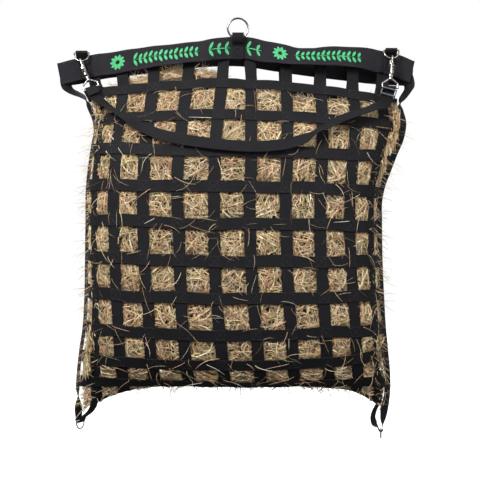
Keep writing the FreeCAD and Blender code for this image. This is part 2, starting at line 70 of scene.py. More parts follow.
# The net's shape in millimetres, one value for each row from the strap ends to the bottom line.
# Near its top LEFT_DROP is a little lower than in the design, to follow the sag of the first rows.
ROW_Z = [-40, -70, -122, -195, -272, -347, -424, -503, -580, -655, -721, -763, -771]
FRONT_Y = [8.9, 8.9, -22, -62, -95, -106, -108, -108, -106, -98, -78, -44, -6]
BACK_Y = [44, 44, 47, 66, 90, 100, 103, 104, 104, 97, 78, 44, 6]
SIDE_Y = [8.9, 8.9, 9, 4, 0, 0, 0, 0, 0, 0, 0, 0, 0]
LEFT_X = [-350, -343, -325, -301, -308, -317, -318, -319, -320, -324, -333, -338, -339]
RIGHT_X = [350, 350, 342, 350, 323, 299, 297, 298, 301, 305, 310, 315, 312]
CENTRE_X = [-2, -2, -3, -7, -10, -13, -13, -11, -6, 0, 5, 11, 8]
GATHER = [9, 9, 7, 3, 0, 0, 0, 0, 0, 0, 0, 0, 0]
LEFT_DROP = [-50, -54, -25, -13, 6, 4, 11, 13, 13, 12, 14, 10, 0]
RIGHT_DROP = [-50, -62, -42, -21, -16, -12, -6, 0, 6, 10, 24, 10, 0]
EAR_DROP = [0, 0, 0, 0, 0, 0, 0, 0, 0, 0, 0, -10, -65]

# Front band: x, height of its middle, lean of its top edge in degrees. Millimetres.
FRONT_BAND = [(-388, -98.3, 0), (-345, -88, 0), (-300, -78, 0), (-230, -67.5, 4), (-150, -57.5, 16),
              (-70, -47.5, 14), (-22, -42, 0), (0, -40.8, 0), (22, -42.3, 0), (55, -49, 10),
              (94, -55, 22), (129, -61.5, 34), (164, -62.5, 33), (187, -60.6, 26), (216, -60, 22),
              (245, -61, 18), (274, -64.5, 8), (297, -69.5, 0), (325, -75.5, 0), (350, -82.5, 0),
              (378, -93, 0)]
BACK_BAND = [(-388, -101), (-345, -91), (-300, -80), (-225, -70), (-150, -60), (-70, -52),
             (10, -51), (85, -62), (160, -73), (230, -82), (300, -91), (345, -95), (381, -98)]
BACK_BAND_LEAN = 3.0

# Top of each side strap: sewn between the bands, then swooping in to the net. Millimetres.
LEFT_SWOOP = [(-374, 9.6, -100), (-374, 9.6, -112), (-372, 9.6, -124), (-364, 9.4, -133.5),
              (-352, 9.2, -139.5), (-338, 9, -146)]
RIGHT_SWOOP = [(366, 9.6, -98), (370, 9.6, -111), (372, 9.6, -123), (369, 9.4, -132.5),
               (363, 9.2, -142), (356, 9, -152)]
LEFT_CORNER = (-341, 0, -848)
RIGHT_CORNER = (309, 0, -868)
LEFT_CORNER_TWIST = 25.0
RIGHT_CORNER_TWIST = 8.0
CORNER_FOLD = 4.3

# How far each side strap lies round towards the front, in degrees, and its inner end above the
# corner ring: points inwards and up from the ring's bar in millimetres, and its lean in degrees.
# The inner ends are longer than in the design, up to the net's corners.
LEFT_TURN = 24.0
RIGHT_TURN = 38.0
LEFT_TAIL = [(14, 12), (25, 21), (33, 33), (36, 46)]
RIGHT_TAIL = [(12, 11), (17, 24), (14, 40), (7, 54)]
TAIL_LEAN = 32.0

# Keepers, hooks and closing strap. Millimetres.
KEEPER_WIDTH = 0.025
LOOP_RADIUS = 4.2
BAR_Y = -2.5
D_RING_DEPTH = 19.9
D_LEAN = math.radians(20)
LEFT_BAR = np.array([-338, BAR_Y, -53.5])
RIGHT_BAR = np.array([331.4, BAR_Y, -47.6])
LEFT_HOOK_AXIS = np.array([-0.366, 0.24, 0.925])
RIGHT_HOOK_AXIS = np.array([0.087, 0.22, 0.99])
EYE_BAR_Z = -67.0
HOOK_TURN = 12.0
SPRING_LOW = -35.6
SPRING_LENGTH = 8.2
SPRING_Y = -6.0
SPRING_RADIUS = 1.75
SPRING_WIRE = 0.3
SPRING_TURNS = 6
FOLD_RADIUS = 3.5
STRAIGHT_RUN = 30.0
RUN_DIRECTION = np.array([-0.30, -0.48, -0.82])

# Closing strap between the hooks: x, y, z, turn and lean of its width in degrees.
HANGING_RUN = [(-292, -42, -162, 42, 48), (-270, -58, -179, 50, 66), (-236, -77, -202, 56, 62),
               (-202, -87, -222, 62, 34), (-165, -94, -237, 70, 22), (-120, -100, -248, 75, 20),
               (-45, -105, -259, 82, 20), (15, -107, -264, 90, 20), (68, -107, -263, 95, 20),
               (108, -104, -257, 103, 22), (136, -101, -248, 112, 34), (158, -97, -235, 118, 66),
               (174, -91, -226, 120, 66), (194, -84, -215, 121, 52), (228, -74, -199, 118, 48),
               (262, -64, -187, 117, 52), (288, -52, -177, 124, 50)]

# Sewing: radius of the threads, height of a stitch above the middle of the webbing it lies on, the
# stitches' pitch and length, and how far the square on a crossing stays inside the strap's edges.
FINE_THREAD = 0.00032
BAND_THREAD = 0.0004
STITCH_LIFT = 0.00085
STITCH_PITCH = 0.0034
STITCH_LENGTH = 0.0024
CROSSING_MARGIN = 0.0028

# On the front band: how far its long seams are from its middle, half the width of the boxes that
# hold the tab and the keepers, and each box's x, lower side and upper side in millimetres.
SEAM_OFFSET = 0.0205
BAND_BOX_HALF = 0.0098
BAND_BOXES = [(0, -63, -41), (LEFT_BAR[0] + 4, -106, -73), (RIGHT_BAR[0] - 4, -99, -67)]

# Height of the top of the hay: x and z, in metres.
HAY_TOP_X = [-0.33, -0.30, -0.24, -0.19, -0.15, -0.12, -0.075, -0.05, -0.02, 0.03, 0.10, 0.18, 0.26, 0.33]
HAY_TOP_Z = [-0.160, -0.145, -0.112, -0.100, -0.086, -0.082, -0.088, -0.094, -0.122, -0.126, -0.143,
             -0.160, -0.156, -0.162]
HAY_INSET = 0.013  # depth of the core, whose dark colour is painted shade, below the straps
CORE_HALF = 0.004  # half the core's thickness where it is thinnest
TOP_MARGIN = 0.004  # how far most stalks may stand above the top of the hay

# Stalks: the rows between which they lie, their lengths in metres, the number of points along each
# and its thickness as a share of its width. Strays are the ones that lie over the straps.
STALK_ROWS = (2.0, 11.9)
STALK_LENGTHS = (0.025, 0.075)
STRAY_ROWS = (2.2, 11.8)
STRAY_LENGTHS = (0.022, 0.062)
STALK_STEPS = 6
STALK_FLATNESS = 0.45
UNDER_STRAPS = -0.0030  # height of a stalk that passes below a strap
WISP_ROOT = 0.020  # length of a side wisp that is hidden in the net
WISP_LIMIT = 0.042  # length of the longest side wisp outside the net


# ---- camera, floor and light ----

CAMERA_PLACE = (0.0043, -2.4, -0.458)
LENS = 83.2
FLOOR_REACH = 6.0
FLOOR_Z = -1.02


def add_object(name, data):
    thing = bpy.data.objects.new(name, data)
    bpy.context.scene.collection.objects.link(thing)
    return thing


def add_camera():
    data = bpy.data.cameras.new("camera")
    camera = add_object("camera", data)
    camera.location = CAMERA_PLACE
    camera.rotation_euler = (math.pi / 2, 0, 0)
    data.sensor_width = 36
    data.lens = LENS
    bpy.context.scene.camera = camera


def area_light(name, place, target, size, power):
    data = bpy.data.lights.new(name, "AREA")
    data.shape = "SQUARE"
    data.size = size
    data.energy = power
    light = add_object(name, data)
    light.location = place
    direction = Vector(target) - Vector(place)
    light.rotation_euler = direction.to_track_quat("-Z", "Y").to_euler()


def add_world():
    """White behind the net; dimmer, and brighter from above, where it lights and reflects."""
    world = bpy.data.worlds.new("studio")
    bpy.context.scene.world = world
    world.use_nodes = True
    tree = world.node_tree
    seen = tree.nodes["Background"]
    seen.inputs["Color"].default_value = (1, 1, 1, 1)
    seen.inputs["Strength"].default_value = 1.0
    lit = tree.nodes.new("ShaderNodeBackground")
    ramp = tree.nodes.new("ShaderNodeValToRGB")
    ramp.color_ramp.elements[0].position = 0.35
    ramp.color_ramp.elements[0].color = (0.10, 0.10, 0.11, 1)
    ramp.color_ramp.elements[1].position = 0.85
    ramp.color_ramp.elements[1].color = (0.85, 0.87, 0.90, 1)
    split = tree.nodes.new("ShaderNodeSeparateXYZ")
    place = tree.nodes.new("ShaderNodeTexCoord")
    rise = tree.nodes.new("ShaderNodeMapRange")
    rise.inputs["From Min"].default_value = -1.0
    tree.links.new(place.outputs["Generated"], split.inputs[0])
    tree.links.new(split.outputs["Z"], rise.inputs["Value"])
    tree.links.new(rise.outputs["Result"], ramp.inputs["Fac"])
    tree.links.new(ramp.outputs["Color"], lit.inputs["Color"])
    path = tree.nodes.new("ShaderNodeLightPath")
    mix = tree.nodes.new("ShaderNodeMixShader")
    tree.links.new(path.outputs["Is Camera Ray"], mix.inputs["Fac"])
    tree.links.new(lit.outputs[0], mix.inputs[1])
    tree.links.new(seen.outputs[0], mix.inputs[2])
    tree.links.new(mix.outputs[0], tree.nodes["World Output"].inputs["Surface"])


def add_stage():
    add_world()
    area_light("key", (-1.3, -2.0, 1.2), (0, 0, -0.4), 0.9, 92)
    area_light("fill", (1.7, -1.9, 0.0), (0, 0, -0.45), 1.6, 24)
    area_light("rim", (0.4, 1.6, 1.0), (0, 0, -0.3), 1.2, 26)
    mesh = bpy.data.meshes.new("floor")
    corners = [(x * FLOOR_REACH, y * FLOOR_REACH, FLOOR_Z) for x, y in ((-1, -1), (1, -1), (1, 1), (-1, 1))]
    mesh.from_pydata(corners, [], [(0, 1, 2, 3)])
    floor = add_object("floor", mesh)
    material = bpy.data.materials.new("pale_floor")
    material.use_nodes = True
    shader = material.node_tree.nodes["Principled BSDF"]
    shader.inputs["Base Color"].default_value = (0.9, 0.9, 0.9, 1)
    shader.inputs["Roughness"].default_value = 0.9
    shader.inputs["Emission Color"].default_value = (1, 1, 1, 1)
    shader.inputs["Emission Strength"].default_value = 0.55
    mesh.materials.append(material)
    floor.visible_diffuse = False
    floor.visible_glossy = False
    bpy.context.scene.view_settings.view_transform = "Standard"


# ---- mesh helpers ----

def unit(vectors):
    length = np.linalg.norm(vectors, axis=-1, keepdims=True)
    return vectors / np.maximum(length, 1e-9)


def make_object(name, points, faces, uv=None, colours=None, smooth=True):
    """Mesh object from arrays: points, faces (quads or triangles), uv and colours for each point."""
    mesh = bpy.data.meshes.new(name)
    faces = np.asarray(faces, dtype=np.int32)
    corners = faces.shape[1]
    mesh.vertices.add(len(points))
    mesh.vertices.foreach_set("co", np.asarray(points, dtype=np.float32).ravel())
    mesh.loops.add(faces.size)
    mesh.loops.foreach_set("vertex_index", faces.ravel())
    mesh.polygons.add(len(faces))
    mesh.polygons.foreach_set("loop_start", np.arange(0, faces.size, corners, dtype=np.int32))
    mesh.polygons.foreach_set("loop_total", np.full(len(faces), corners, dtype=np.int32))
    mesh.polygons.foreach_set("use_smooth", np.full(len(faces), smooth))
    if uv is not None:
        layer = mesh.uv_layers.new(name="strap_uv")
        layer.data.foreach_set("uv", np.asarray(uv, dtype=np.float32)[faces.ravel()].ravel())
    if colours is not None:
        layer = mesh.color_attributes.new("strand", "FLOAT_COLOR", "POINT")
        layer.data.foreach_set("color", np.asarray(colours, dtype=np.float32).ravel())
    mesh.update(calc_edges=True)
    mesh.validate()
    return add_object(name, mesh)


def finish_piece(piece, material, body, nodes=()):
    piece.data.materials.append(material)
    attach(piece, body)
    if nodes:
        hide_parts(*nodes)


def tube_faces(rings, around, closed_loop=False):
    """Quads between rings of points, each ring closed on itself."""
    faces = []
    last = rings if closed_loop else rings - 1
    ring = np.arange(around)
    following = (ring + 1) % around
    for i in range(last):
        a = i * around
        b = ((i + 1) % rings) * around
        faces.append(np.stack([a + ring, a + following, b + following, b + ring], axis=1))
    return np.concatenate(faces)


def cap_faces(rings, around):
    """Quads that close both ends of a flat section, whose points run up one side and down the other."""
    faces = []
    half = around // 2
    for base, flip in ((0, False), ((rings - 1) * around, True)):
        for i in range(half - 1):
            quad = [base + i, base + i + 1, base + around - 2 - i, base + around - 1 - i]
            faces.append(quad if not flip else quad[::-1])
    return np.array(faces)


def repeat_faces(faces, count, points_each):
    """The same faces for each of many like shapes whose points follow one another."""
    shifts = np.arange(count)[:, None, None] * points_each
    return (faces[None] + shifts).reshape(-1, faces.shape[1])


def rings_round(centres, side, other, radius, around):
    """Points round each centre, in the plane of the directions side and other."""
    angles = np.arange(around)[:, None] * 2 * math.pi / around
    turned = side[..., None, :] * np.cos(angles) + other[..., None, :] * np.sin(angles)
    return centres[..., None, :] + turned * np.asarray(radius)[..., None, None]


def strap_section(width, thick):
    """Section of webbing: a flat band with rounded, slightly thicker edges."""
    across = np.array([-0.5, -0.487, -0.455, -0.40, -0.2, 0.0, 0.2, 0.40, 0.455, 0.487, 0.5])
    height = np.array([0.10, 0.36, 0.50, 0.44, 0.43, 0.45, 0.43, 0.44, 0.50, 0.36, 0.10])
    upper = np.stack([across * width, height * thick], axis=1)
    lower = np.stack([across[::-1] * width, -height[::-1] * thick], axis=1)
    return np.concatenate([upper, lower])


def strap_frame(points, across, closed=False):
    """Normals of a strap's face and directions of its width, from its line and a rough width."""
    if closed:
        tangent = unit(np.roll(points, -1, axis=0) - np.roll(points, 1, axis=0))
    else:
        tangent = unit(np.gradient(points, axis=0))
    normal = unit(np.cross(tangent, across))
    return normal, unit(np.cross(normal, tangent))


def webbing(name, points, across, width=STRAP_WIDTH, thick=STRAP_THICK, outward=0.0, closed=False):
    """Webbing laid along points, with its width along across."""
    normal, side = strap_frame(points, across, closed)
    outward = np.broadcast_to(np.asarray(outward, dtype=float), len(points))
    base = points + normal * outward[:, None]
    section = strap_section(width, thick)
    rings = base[:, None, :] + side[:, None, :] * section[None, :, :1]
    rings = rings + normal[:, None, :] * section[None, :, 1:]
    around = len(section)
    steps = np.linalg.norm(np.diff(base, axis=0), axis=1)
    along = np.concatenate([[0.0], np.cumsum(steps)])
    uv = np.zeros((len(points), around, 2))
    uv[:, :, 0] = section[None, :, 0]
    uv[:, :, 1] = along[:, None]
    faces = tube_faces(len(points), around, closed)
    if not closed:
        faces = np.concatenate([faces, cap_faces(len(points), around)])
    return make_object(name, rings.reshape(-1, 3), faces[:, ::-1], uv.reshape(-1, 2))


def net_webbing(name, points, across, **shape):
    """Webbing in place of the net's node of the same name."""
    finish_piece(webbing(name, points, across, **shape), WEBBING, "net", [name])


def net_band(name, points, across):
    """Wide webbing in place of one of the net's two bands."""
    band = webbing(name, points, across, BAND_WIDTH, BAND_THICK)
    finish_piece(band, BAND_WEBBING, "net", [name])


def through(stations, spacing=0.0025):
    """Smooth line through stations, which are rows of numbers that start with x, y, z in metres."""
    stations = np.asarray(stations, dtype=float)
    knots = np.concatenate([[0.0], np.cumsum(np.linalg.norm(np.diff(stations[:, :3], axis=0), axis=1))])
    slopes = np.gradient(stations, knots, axis=0)
    count = max(int(knots[-1] / spacing), 2 * len(stations))
    place = np.unique(np.concatenate([np.linspace(0, knots[-1], count), knots]))
    i = np.clip(np.searchsorted(knots, place, side="right") - 1, 0, len(knots) - 2)
    step = (knots[i + 1] - knots[i])[:, None]
    f = ((place - knots[i])[:, None]) / step
    ease = f * f * (3 - 2 * f)
    line = stations[i] * (1 - ease) + stations[i + 1] * ease
    line += slopes[i] * step * f * (1 - f) ** 2
    return line - slopes[i + 1] * step * f * f * (1 - f)


# ---- the net's surface ----

def smooth(values, row):
    """Values at fractional rows, on a smooth curve through the values at whole rows."""
    values = np.asarray(values, dtype=float)
    row = np.asarray(row, dtype=float)
    i = np.clip(row.astype(int), 0, len(values) - 2)
    f = row - i
    a = values[np.maximum(i - 1, 0)]
    b = values[i]
    c = values[i + 1]
    d = values[np.minimum(i + 2, len(values) - 1)]
    cubic = (3 * b - a - 3 * c + d) * f + (2 * a - 5 * b + 4 * c - d)
    return b + 0.5 * f * ((c - a) + f * cubic)


def net_point(face, along, row):
    """Points of the net's surface; along is measured round the net from the middle of a face."""
    along, row = np.broadcast_arrays(np.asarray(along, dtype=float), np.asarray(row, dtype=float))
    reach = np.minimum(np.abs(along) / HALF_BAND, 1.0)
    taper = reach ** TAPER_POWER
    centre = smooth(CENTRE_X, row) * MM
    edge = np.where(along < 0, smooth(LEFT_X, row), smooth(RIGHT_X, row)) * MM
    gather = smooth(GATHER, row) * MM * (1 - reach) * np.minimum(1.0, np.abs(along) / GATHER_REACH)
    spread = np.abs(along) - gather - (HALF_BAND - np.abs(edge - centre)) * taper
    x = centre + np.sign(along) * spread
    side = smooth(SIDE_Y, row) * MM
    y = side + (smooth(face, row) * MM - side) * np.maximum(0.0, 1 - taper) ** BULGE_POWER
    shoulder = np.where(along < 0, smooth(LEFT_DROP, row), smooth(RIGHT_DROP, row))
    drop = shoulder * reach ** SHOULDER_POWER + smooth(EAR_DROP, row) * taper
    z = (smooth(ROW_Z, row) + drop) * MM
    return np.stack([x, y, z], axis=-1)


def net_span(face, along, row, aside=0.0, down=0.0):
    """From one point of the net's surface to another, on either side of a place."""
    return net_point(face, along + aside, row + down) - net_point(face, along - aside, row - down)


def net_normal(face, along, row):
    step = 0.003
    d_along = net_point(face, np.clip(along + step, -HALF_BAND, HALF_BAND), row)
    d_along = d_along - net_point(face, np.clip(along - step, -HALF_BAND, HALF_BAND), row)
    d_row = net_point(face, along, np.minimum(row + 0.05, BOTTOM_ROW)) - net_point(face, along, row - 0.05)
    normal = unit(np.cross(d_along, d_row))
    outward = -1.0 if face is FRONT_Y else 1.0
    return normal * np.sign(normal[..., 1:2] * outward + 1e-9)


def wander(count, reach, amount):
    """Smooth random numbers along a strap, for the small unevenness of sewn webbing."""
    knots = random.normal(0, amount, count // reach + 3)
    line = np.interp(np.linspace(0, len(knots) - 1, count), np.arange(len(knots)), knots)
    kernel = np.hanning(max(reach, 3))
    margin = len(kernel) // 2
    blurred = np.convolve(np.pad(line, margin, mode="edge"), kernel / kernel.sum(), "same")
    return blurred[margin:margin + count]


def strap_position(number):
    return STRAP_PITCH * (number - (STRAPS_PER_FACE - 1) / 2)


# ---- webbing of the net ----

def vertical_strap(name, face, along):
    rows = np.linspace(0, BOTTOM_ROW, 181)
    sway = along + wander(len(rows), 16, 0.0013)
    points = net_point(face, sway, rows)
    net_webbing(name, points, net_span(face, sway, rows, aside=0.004))


def row_strap(name, row):
    """Strap right round the net; it lifts a little between the vertical straps."""
    front = -HALF_BAND * np.cos(np.linspace(0, math.pi, 300))
    along = np.concatenate([front, front[::-1][1:-1]])
    on_front = np.arange(len(along)) < len(front)
    level = row + wander(len(along), 18, 0.022)
    fade = np.minimum(1.0, np.arange(len(along))[::-1] / 20.0)
    level = level * fade + level[0] * (1 - fade)
    stack = [np.where(on_front[:, None], net_point(FRONT_Y, along, at), net_point(BACK_Y, along, at))
             for at in (level, level - 0.1, level + 0.1)]
    between = 0.5 - 0.5 * np.cos(2 * math.pi * (along / STRAP_PITCH - 0.5))
    outward = LAYER_STEP - ROW_SUNK + 0.0011 * between
    net_webbing(name, stack[0], stack[1] - stack[2], outward=outward, closed=True)


def side_strap(name, sign, swoop, corner, twist, lie, tail):
    """Strap down the side of the net, from the band's end to the fold that holds a D-ring."""
    turns = [(-1, 0, 0), (-0.97, 0.25, 0), (-0.8, 0.5, 0.25), (-0.45, 0.8, 0.4), (-0.35, 0.85, 0.4),
             (-0.35, 0.9, 0.25)]
    rows = 2.25 + 0.5 * np.arange(19)
    edge = sign * HALF_BAND
    side = net_point(FRONT_Y, edge, rows)
    down = unit(net_span(FRONT_Y, edge, rows, down=0.1))
    outward = np.stack([-down[:, 2], 0 * rows, down[:, 0]], axis=1) * sign
    body = side + outward * (SIDE_STEP + 0.0022)
    lie = math.radians(lie)
    body_across = np.array([(sign * math.sin(lie), math.cos(lie), 0)] * len(body))
    wrap = CORNER_FOLD
    fold = np.array([(-wrap - 0.5, 0, 22), (-wrap, 0, 8), (-wrap, 0, 0), (0, 0, -wrap), (wrap, 0, 0),
                     (wrap + 2.5, 0, 6)] + [(x, 0, z) for x, z in tail])
    angle = math.radians(twist)
    aside = np.array([math.cos(angle), -math.sin(angle), 0]) * -sign
    fold = corner + fold[:, :1] * aside + fold * (0, 0, 1)
    leans = np.radians([TAIL_LEAN] + [twist] * 5 + [TAIL_LEAN] * len(tail))
    fold_across = np.stack([np.sin(leans), np.cos(leans), 0 * leans], axis=1)
    points = np.concatenate([np.array(swoop) * MM, body, fold * MM])
    across = np.concatenate([np.array(turns) * (sign, 1, 1), body_across, fold_across])
    line = through(np.hstack([points, across]))
    net_webbing(name, line[:, :3], line[:, 3:])


def bottom_binding():
    """Narrow webbing sewn along the bottom line, where the front and the back of the net meet."""
    along = np.linspace(-HALF_BAND * 0.9, HALF_BAND * 0.9, 260)
    points = (net_point(FRONT_Y, along, BOTTOM_ROW) + net_point(BACK_Y, along, BOTTOM_ROW)) / 2
    points[:, 2] += 0.001 + wander(len(along), 22, 0.0012)
    across = np.array([(0, 1, 0.25)] * len(along))
    binding = webbing("bottom_binding", points, across, 0.018, 0.0024)
    finish_piece(binding, WEBBING, "net")


# ---- top band, tab and keepers ----

def front_band_line(x):
    """Middle points and width directions of the front band at places across the net."""
    table = np.array(FRONT_BAND, dtype=float)
    height = np.interp(x, table[:, 0] * MM, np.arange(len(table)))
    lean = np.radians(smooth(table[:, 2], height))
    loose = 1 - np.exp(-(x / 0.045) ** 2)
    wave_y = 0.0004 * np.sin(x * 61) + 0.0003 * np.sin(x * 143 + 1)
    wave_z = 0.0007 * np.sin(x * 38 + 2) + 0.0004 * np.sin(x * 97)
    y = BAND_Y - BAND_WIDTH / 2 * np.sin(lean) + loose * wave_y
    z = smooth(table[:, 1], height) * MM + loose * wave_z
    points = np.stack([x, y, z], axis=1)
    across = np.stack([0 * x, np.sin(lean), np.cos(lean)], axis=1)
    return points, across


def front_band():
    points, across = front_band_line(np.linspace(-0.388, 0.378, 420))
    net_band("front_band", points, across)


def back_band():
    table = np.array(BACK_BAND, dtype=float)
    reach = np.abs(table[:, 0]) * MM / HALF_BAND
    bulge = np.maximum(0.0, 1 - reach ** TAPER_POWER) ** BULGE_POWER
    y = BACK_BAND_Y + (BACK_Y[0] - FRONT_Y[0] + BACK_BAND_LEAN) * MM * bulge
    line = through(np.stack([table[:, 0] * MM, y, table[:, 1] * MM], axis=1), 0.002)
    net_band("back_band", line, np.array([(0, -0.04, 1)] * len(line)))


def band_plies():
    """Depths of webbing sewn on the front and on the back of the front band, in millimetres."""
    reach = (BAND_THICK / 2 + SEWN_GAP + STRAP_THICK / 2) / MM
    return BAND_Y / MM - reach, BAND_Y / MM + reach


def ring_tab():
    """Webbing folded over the ring and sewn to both faces of the front band."""
    face, back = band_plies()
    route = [(face, -66), (face, -55), (face, -43), (face - 0.8, -36), (-3.4, -29), (-6.2, -20.5),
             (-5.2, -13.5), (-0.5, -9.6), (4.8, -11.6), (back - 0.3, -16.5), (back, -24), (back, -33),
             (back, -42)]
    line = through([(0, y * MM, z * MM) for y, z in route], 0.0012)
    net_webbing("ring_tab", line, np.array([(1.0, 0, 0)] * len(line)))


def keeper(name, bar):
    """Webbing over the band's top edge, with a loop in which the D-ring's bar turns."""
    for (x0, z0, lean0), (x1, z1, lean1) in zip(FRONT_BAND, FRONT_BAND[1:]):
        if x0 <= bar[0] <= x1:
            slope = math.atan2(z1 - z0, x1 - x0)
            edge = z0 + (z1 - z0) * (bar[0] - x0) / (x1 - x0) + BAND_WIDTH / MM / 2 / math.cos(slope)
    face, back = band_plies()
    low = edge - bar[2]
    loop = LOOP_RADIUS
    route = [(face, low - 46, 1), (face, low - 30, 1), (face, low - 16, 1), (face, low - 9, 1),
             (face - 1.4, low - 4.5, 0.6), (BAR_Y - loop * 0.4, -loop, 0), (BAR_Y - loop, 0, 0),
             (BAR_Y - loop * 0.7, loop * 0.7, 0), (BAR_Y, loop, 0), (BAR_Y + loop, loop * 0.55, 0),
             (BAND_Y / MM - 1, low + 3.2, 0.5), (back - 0.7, low + 1.4, 0.8), (back, low - 4, 1),
             (back, low - 9, 1), (back, low - 14, 1)]
    stations = []
    for y, z, tilt in route:
        angle = slope * tilt
        place = (bar[0] - z * math.sin(angle), y, bar[2] + z * math.cos(angle))
        stations.append([value * MM for value in place] + [math.cos(angle), 0, math.sin(angle)])
    line = through(stations, 0.001)
    net_webbing(name, line[:, :3], line[:, 3:], width=KEEPER_WIDTH)


# ---- closing strap ----

def hook_axes(axis):
    """Sideways and lengthwise directions of a hook that is not turned on its swivel."""
    along = unit(axis)
    return unit(np.array([1.0, 0, 0]) - along * along[0]), along


def hook_point(bar):
    """Where a hook hangs on its D-ring, whose bar lies in the keeper."""
    return bar - D_RING_DEPTH * np.array([0, math.sin(D_LEAN), math.cos(D_LEAN)])


def eye_bar(bar, axis):
    """Where the closing strap is folded over the bar of a hook's strap eye."""
    return hook_point(bar) + hook_axes(axis)[1] * EYE_BAR_Z


def facing(turn, lean=0):
    """Direction of the strap's width: turned in the front plane, then leaned towards the back."""
    angle = math.radians(turn)
    back = math.radians(lean)
    return np.array([math.cos(angle) * math.cos(back), math.sin(back), math.sin(angle) * math.cos(back)])


def fold(centre, away, across):
    """Points of a strap's fold over a bar; away points from the bar to the strap."""
    side = unit(np.cross(away, across)) * FOLD_RADIUS
    diagonal = math.sqrt(0.5)
    turned = unit(away) * FOLD_RADIUS
    return [centre + side, centre + (side - turned) * diagonal, centre - turned,
            centre - (side + turned) * diagonal, centre - side]


def closing_strap():
    left = eye_bar(LEFT_BAR, LEFT_HOOK_AXIS)
    right = eye_bar(RIGHT_BAR, RIGHT_HOOK_AXIS)
    run = unit(RUN_DIRECTION)
    left_across = hook_axes(LEFT_HOOK_AXIS)[0]
    right_across = hook_axes(RIGHT_HOOK_AXIS)[0] * -1
    left_away = unit(np.array([0.45, -0.50, -0.80]))
    left_fold = fold(left, left_away, left_across)
    right_fold = fold(right, run, right_across)
    stations = [(left_fold[0] + left_away * distance, left_across) for distance in (20, 13, 7)]
    stations += [(point, left_across) for point in left_fold]
    stations.append((left_fold[-1] + left_away * 8, left_across))
    stations.append((left_fold[-1] + left_away * 18, facing(28, 22)))
    stations += [(np.array(station[:3]), facing(*station[3:])) for station in HANGING_RUN]
    stations += [(right_fold[0] + run * distance, facing(turn)) for distance, turn in
                 ((STRAIGHT_RUN + 6, 158), (STRAIGHT_RUN - 2, 166), (20, 172), (10, 176))]
    stations += [(point, right_across) for point in right_fold]
    stations += [(right_fold[-1] + run * distance, right_across) for distance in (5, 10)]
    line = through([np.concatenate([point * MM, across]) for point, across in stations], 0.0015)
    strap = webbing("closing_strap", line[:, :3], line[:, 3:])
    finish_piece(strap, WEBBING, "closing_strap", ["closing_strap"])


# ---- springs in the hooks ----

def bolt_spring(side_name, bar, axis, turn):
    """Coil spring under a hook's bolt, built at one length; in the real hook it shortens as the bolt is
    pulled back.
    """
    sideways, along = hook_axes(axis)
    back = np.cross(along, sideways)
    angle = math.radians(turn)
    own_x = sideways * math.cos(angle) + back * math.sin(angle)
    own_y = back * math.cos(angle) - sideways * math.sin(angle)
    t = np.linspace(0, 1, SPRING_TURNS * 16)[:, None]
    coil = 2 * math.pi * SPRING_TURNS * t
    middle = hook_point(bar) + own_y * SPRING_Y
    line = middle + along * (SPRING_LOW + SPRING_LENGTH * t)
    line = line + (own_x * np.cos(coil) + own_y * np.sin(coil)) * SPRING_RADIUS
    tangent = unit(np.gradient(line, axis=0))
    side = unit(np.cross(tangent, along))
    around = 8
    points = rings_round(line, side, np.cross(tangent, side), SPRING_WIRE, around) * MM
    faces = np.concatenate([tube_faces(len(line), around), cap_faces(len(line), around)])
    spring = make_object("bolt_spring_" + side_name, points.reshape(-1, 3), faces)
    finish_piece(spring, SPRING, "hook_" + side_name, ["bolt_spring_" + side_name])
    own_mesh(spring)


# ---- sewing thread ----

def stitches(name, starts, ends, radius):
    """Short round stitches, one closed capsule for each start and end."""
    direction = unit(ends - starts)
    side = unit(np.cross(direction, np.array([0.31, 0.73, 0.61])))
    other = np.cross(direction, side)
    steps = np.array([0.0, 0.12, 0.5, 0.88, 1.0])
    swell = np.array([0.25, 0.85, 1.0, 0.85, 0.25]) * radius
    around = 6
    centres = starts[:, None, :] + (ends - starts)[:, None, :] * steps[:, None]
    points = rings_round(centres, side[:, None, :], other[:, None, :], swell, around)
    capsule = np.concatenate([tube_faces(len(steps), around), cap_faces(len(steps), around)])[:, ::-1]
    faces = repeat_faces(capsule, len(starts), len(steps) * around)
    finish_piece(make_object(name, points.reshape(-1, 3), faces), THREAD, "net")


def sew(name, seams, radius):
    """Stitches along each seam, which is a chain of straight runs."""
    starts = []
    ends = []
    for seam in seams:
        for first, second in zip(seam, seam[1:]):
            run = np.linalg.norm(second - first)
            count = max(int(run / STITCH_PITCH), 1)
            for place in (np.arange(count) + 0.5) / count:
                middle = first + (second - first) * place
                half = (second - first) / run * STITCH_LENGTH / 2
                starts.append(middle - half)
                ends.append(middle + half)
    stitches(name, np.array(starts), np.array(ends), radius)


def crossed_box(centre, right, up):
    """Seams of a sewn box with both diagonals; right and up reach from its centre to its sides."""
    box = [centre + right * a + up * b for a, b in ((-1, -1), (1, -1), (1, 1), (-1, 1), (-1, -1))]
    return [box, [box[0], box[2]], [box[1], box[3]]]


def crossing_stitches(name, face):
    """A sewn square with its diagonals on each crossing of one face."""
    seams = []
    half = STRAP_WIDTH / 2 - CROSSING_MARGIN
    for number in range(STRAPS_PER_FACE):
        for row in range(FIRST_ROW, FIRST_ROW + ROW_COUNT):
            along = strap_position(number)
            centre = net_point(face, along, row)
            right = unit(net_span(face, along, row, aside=0.004))
            up = unit(net_span(face, along, row, down=-0.1))
            out = net_normal(face, along, row)
            middle = centre + out * (LAYER_STEP - ROW_SUNK + STITCH_LIFT)
            seams += crossed_box(middle, right * half, up * half)
    sew(name, seams, FINE_THREAD)


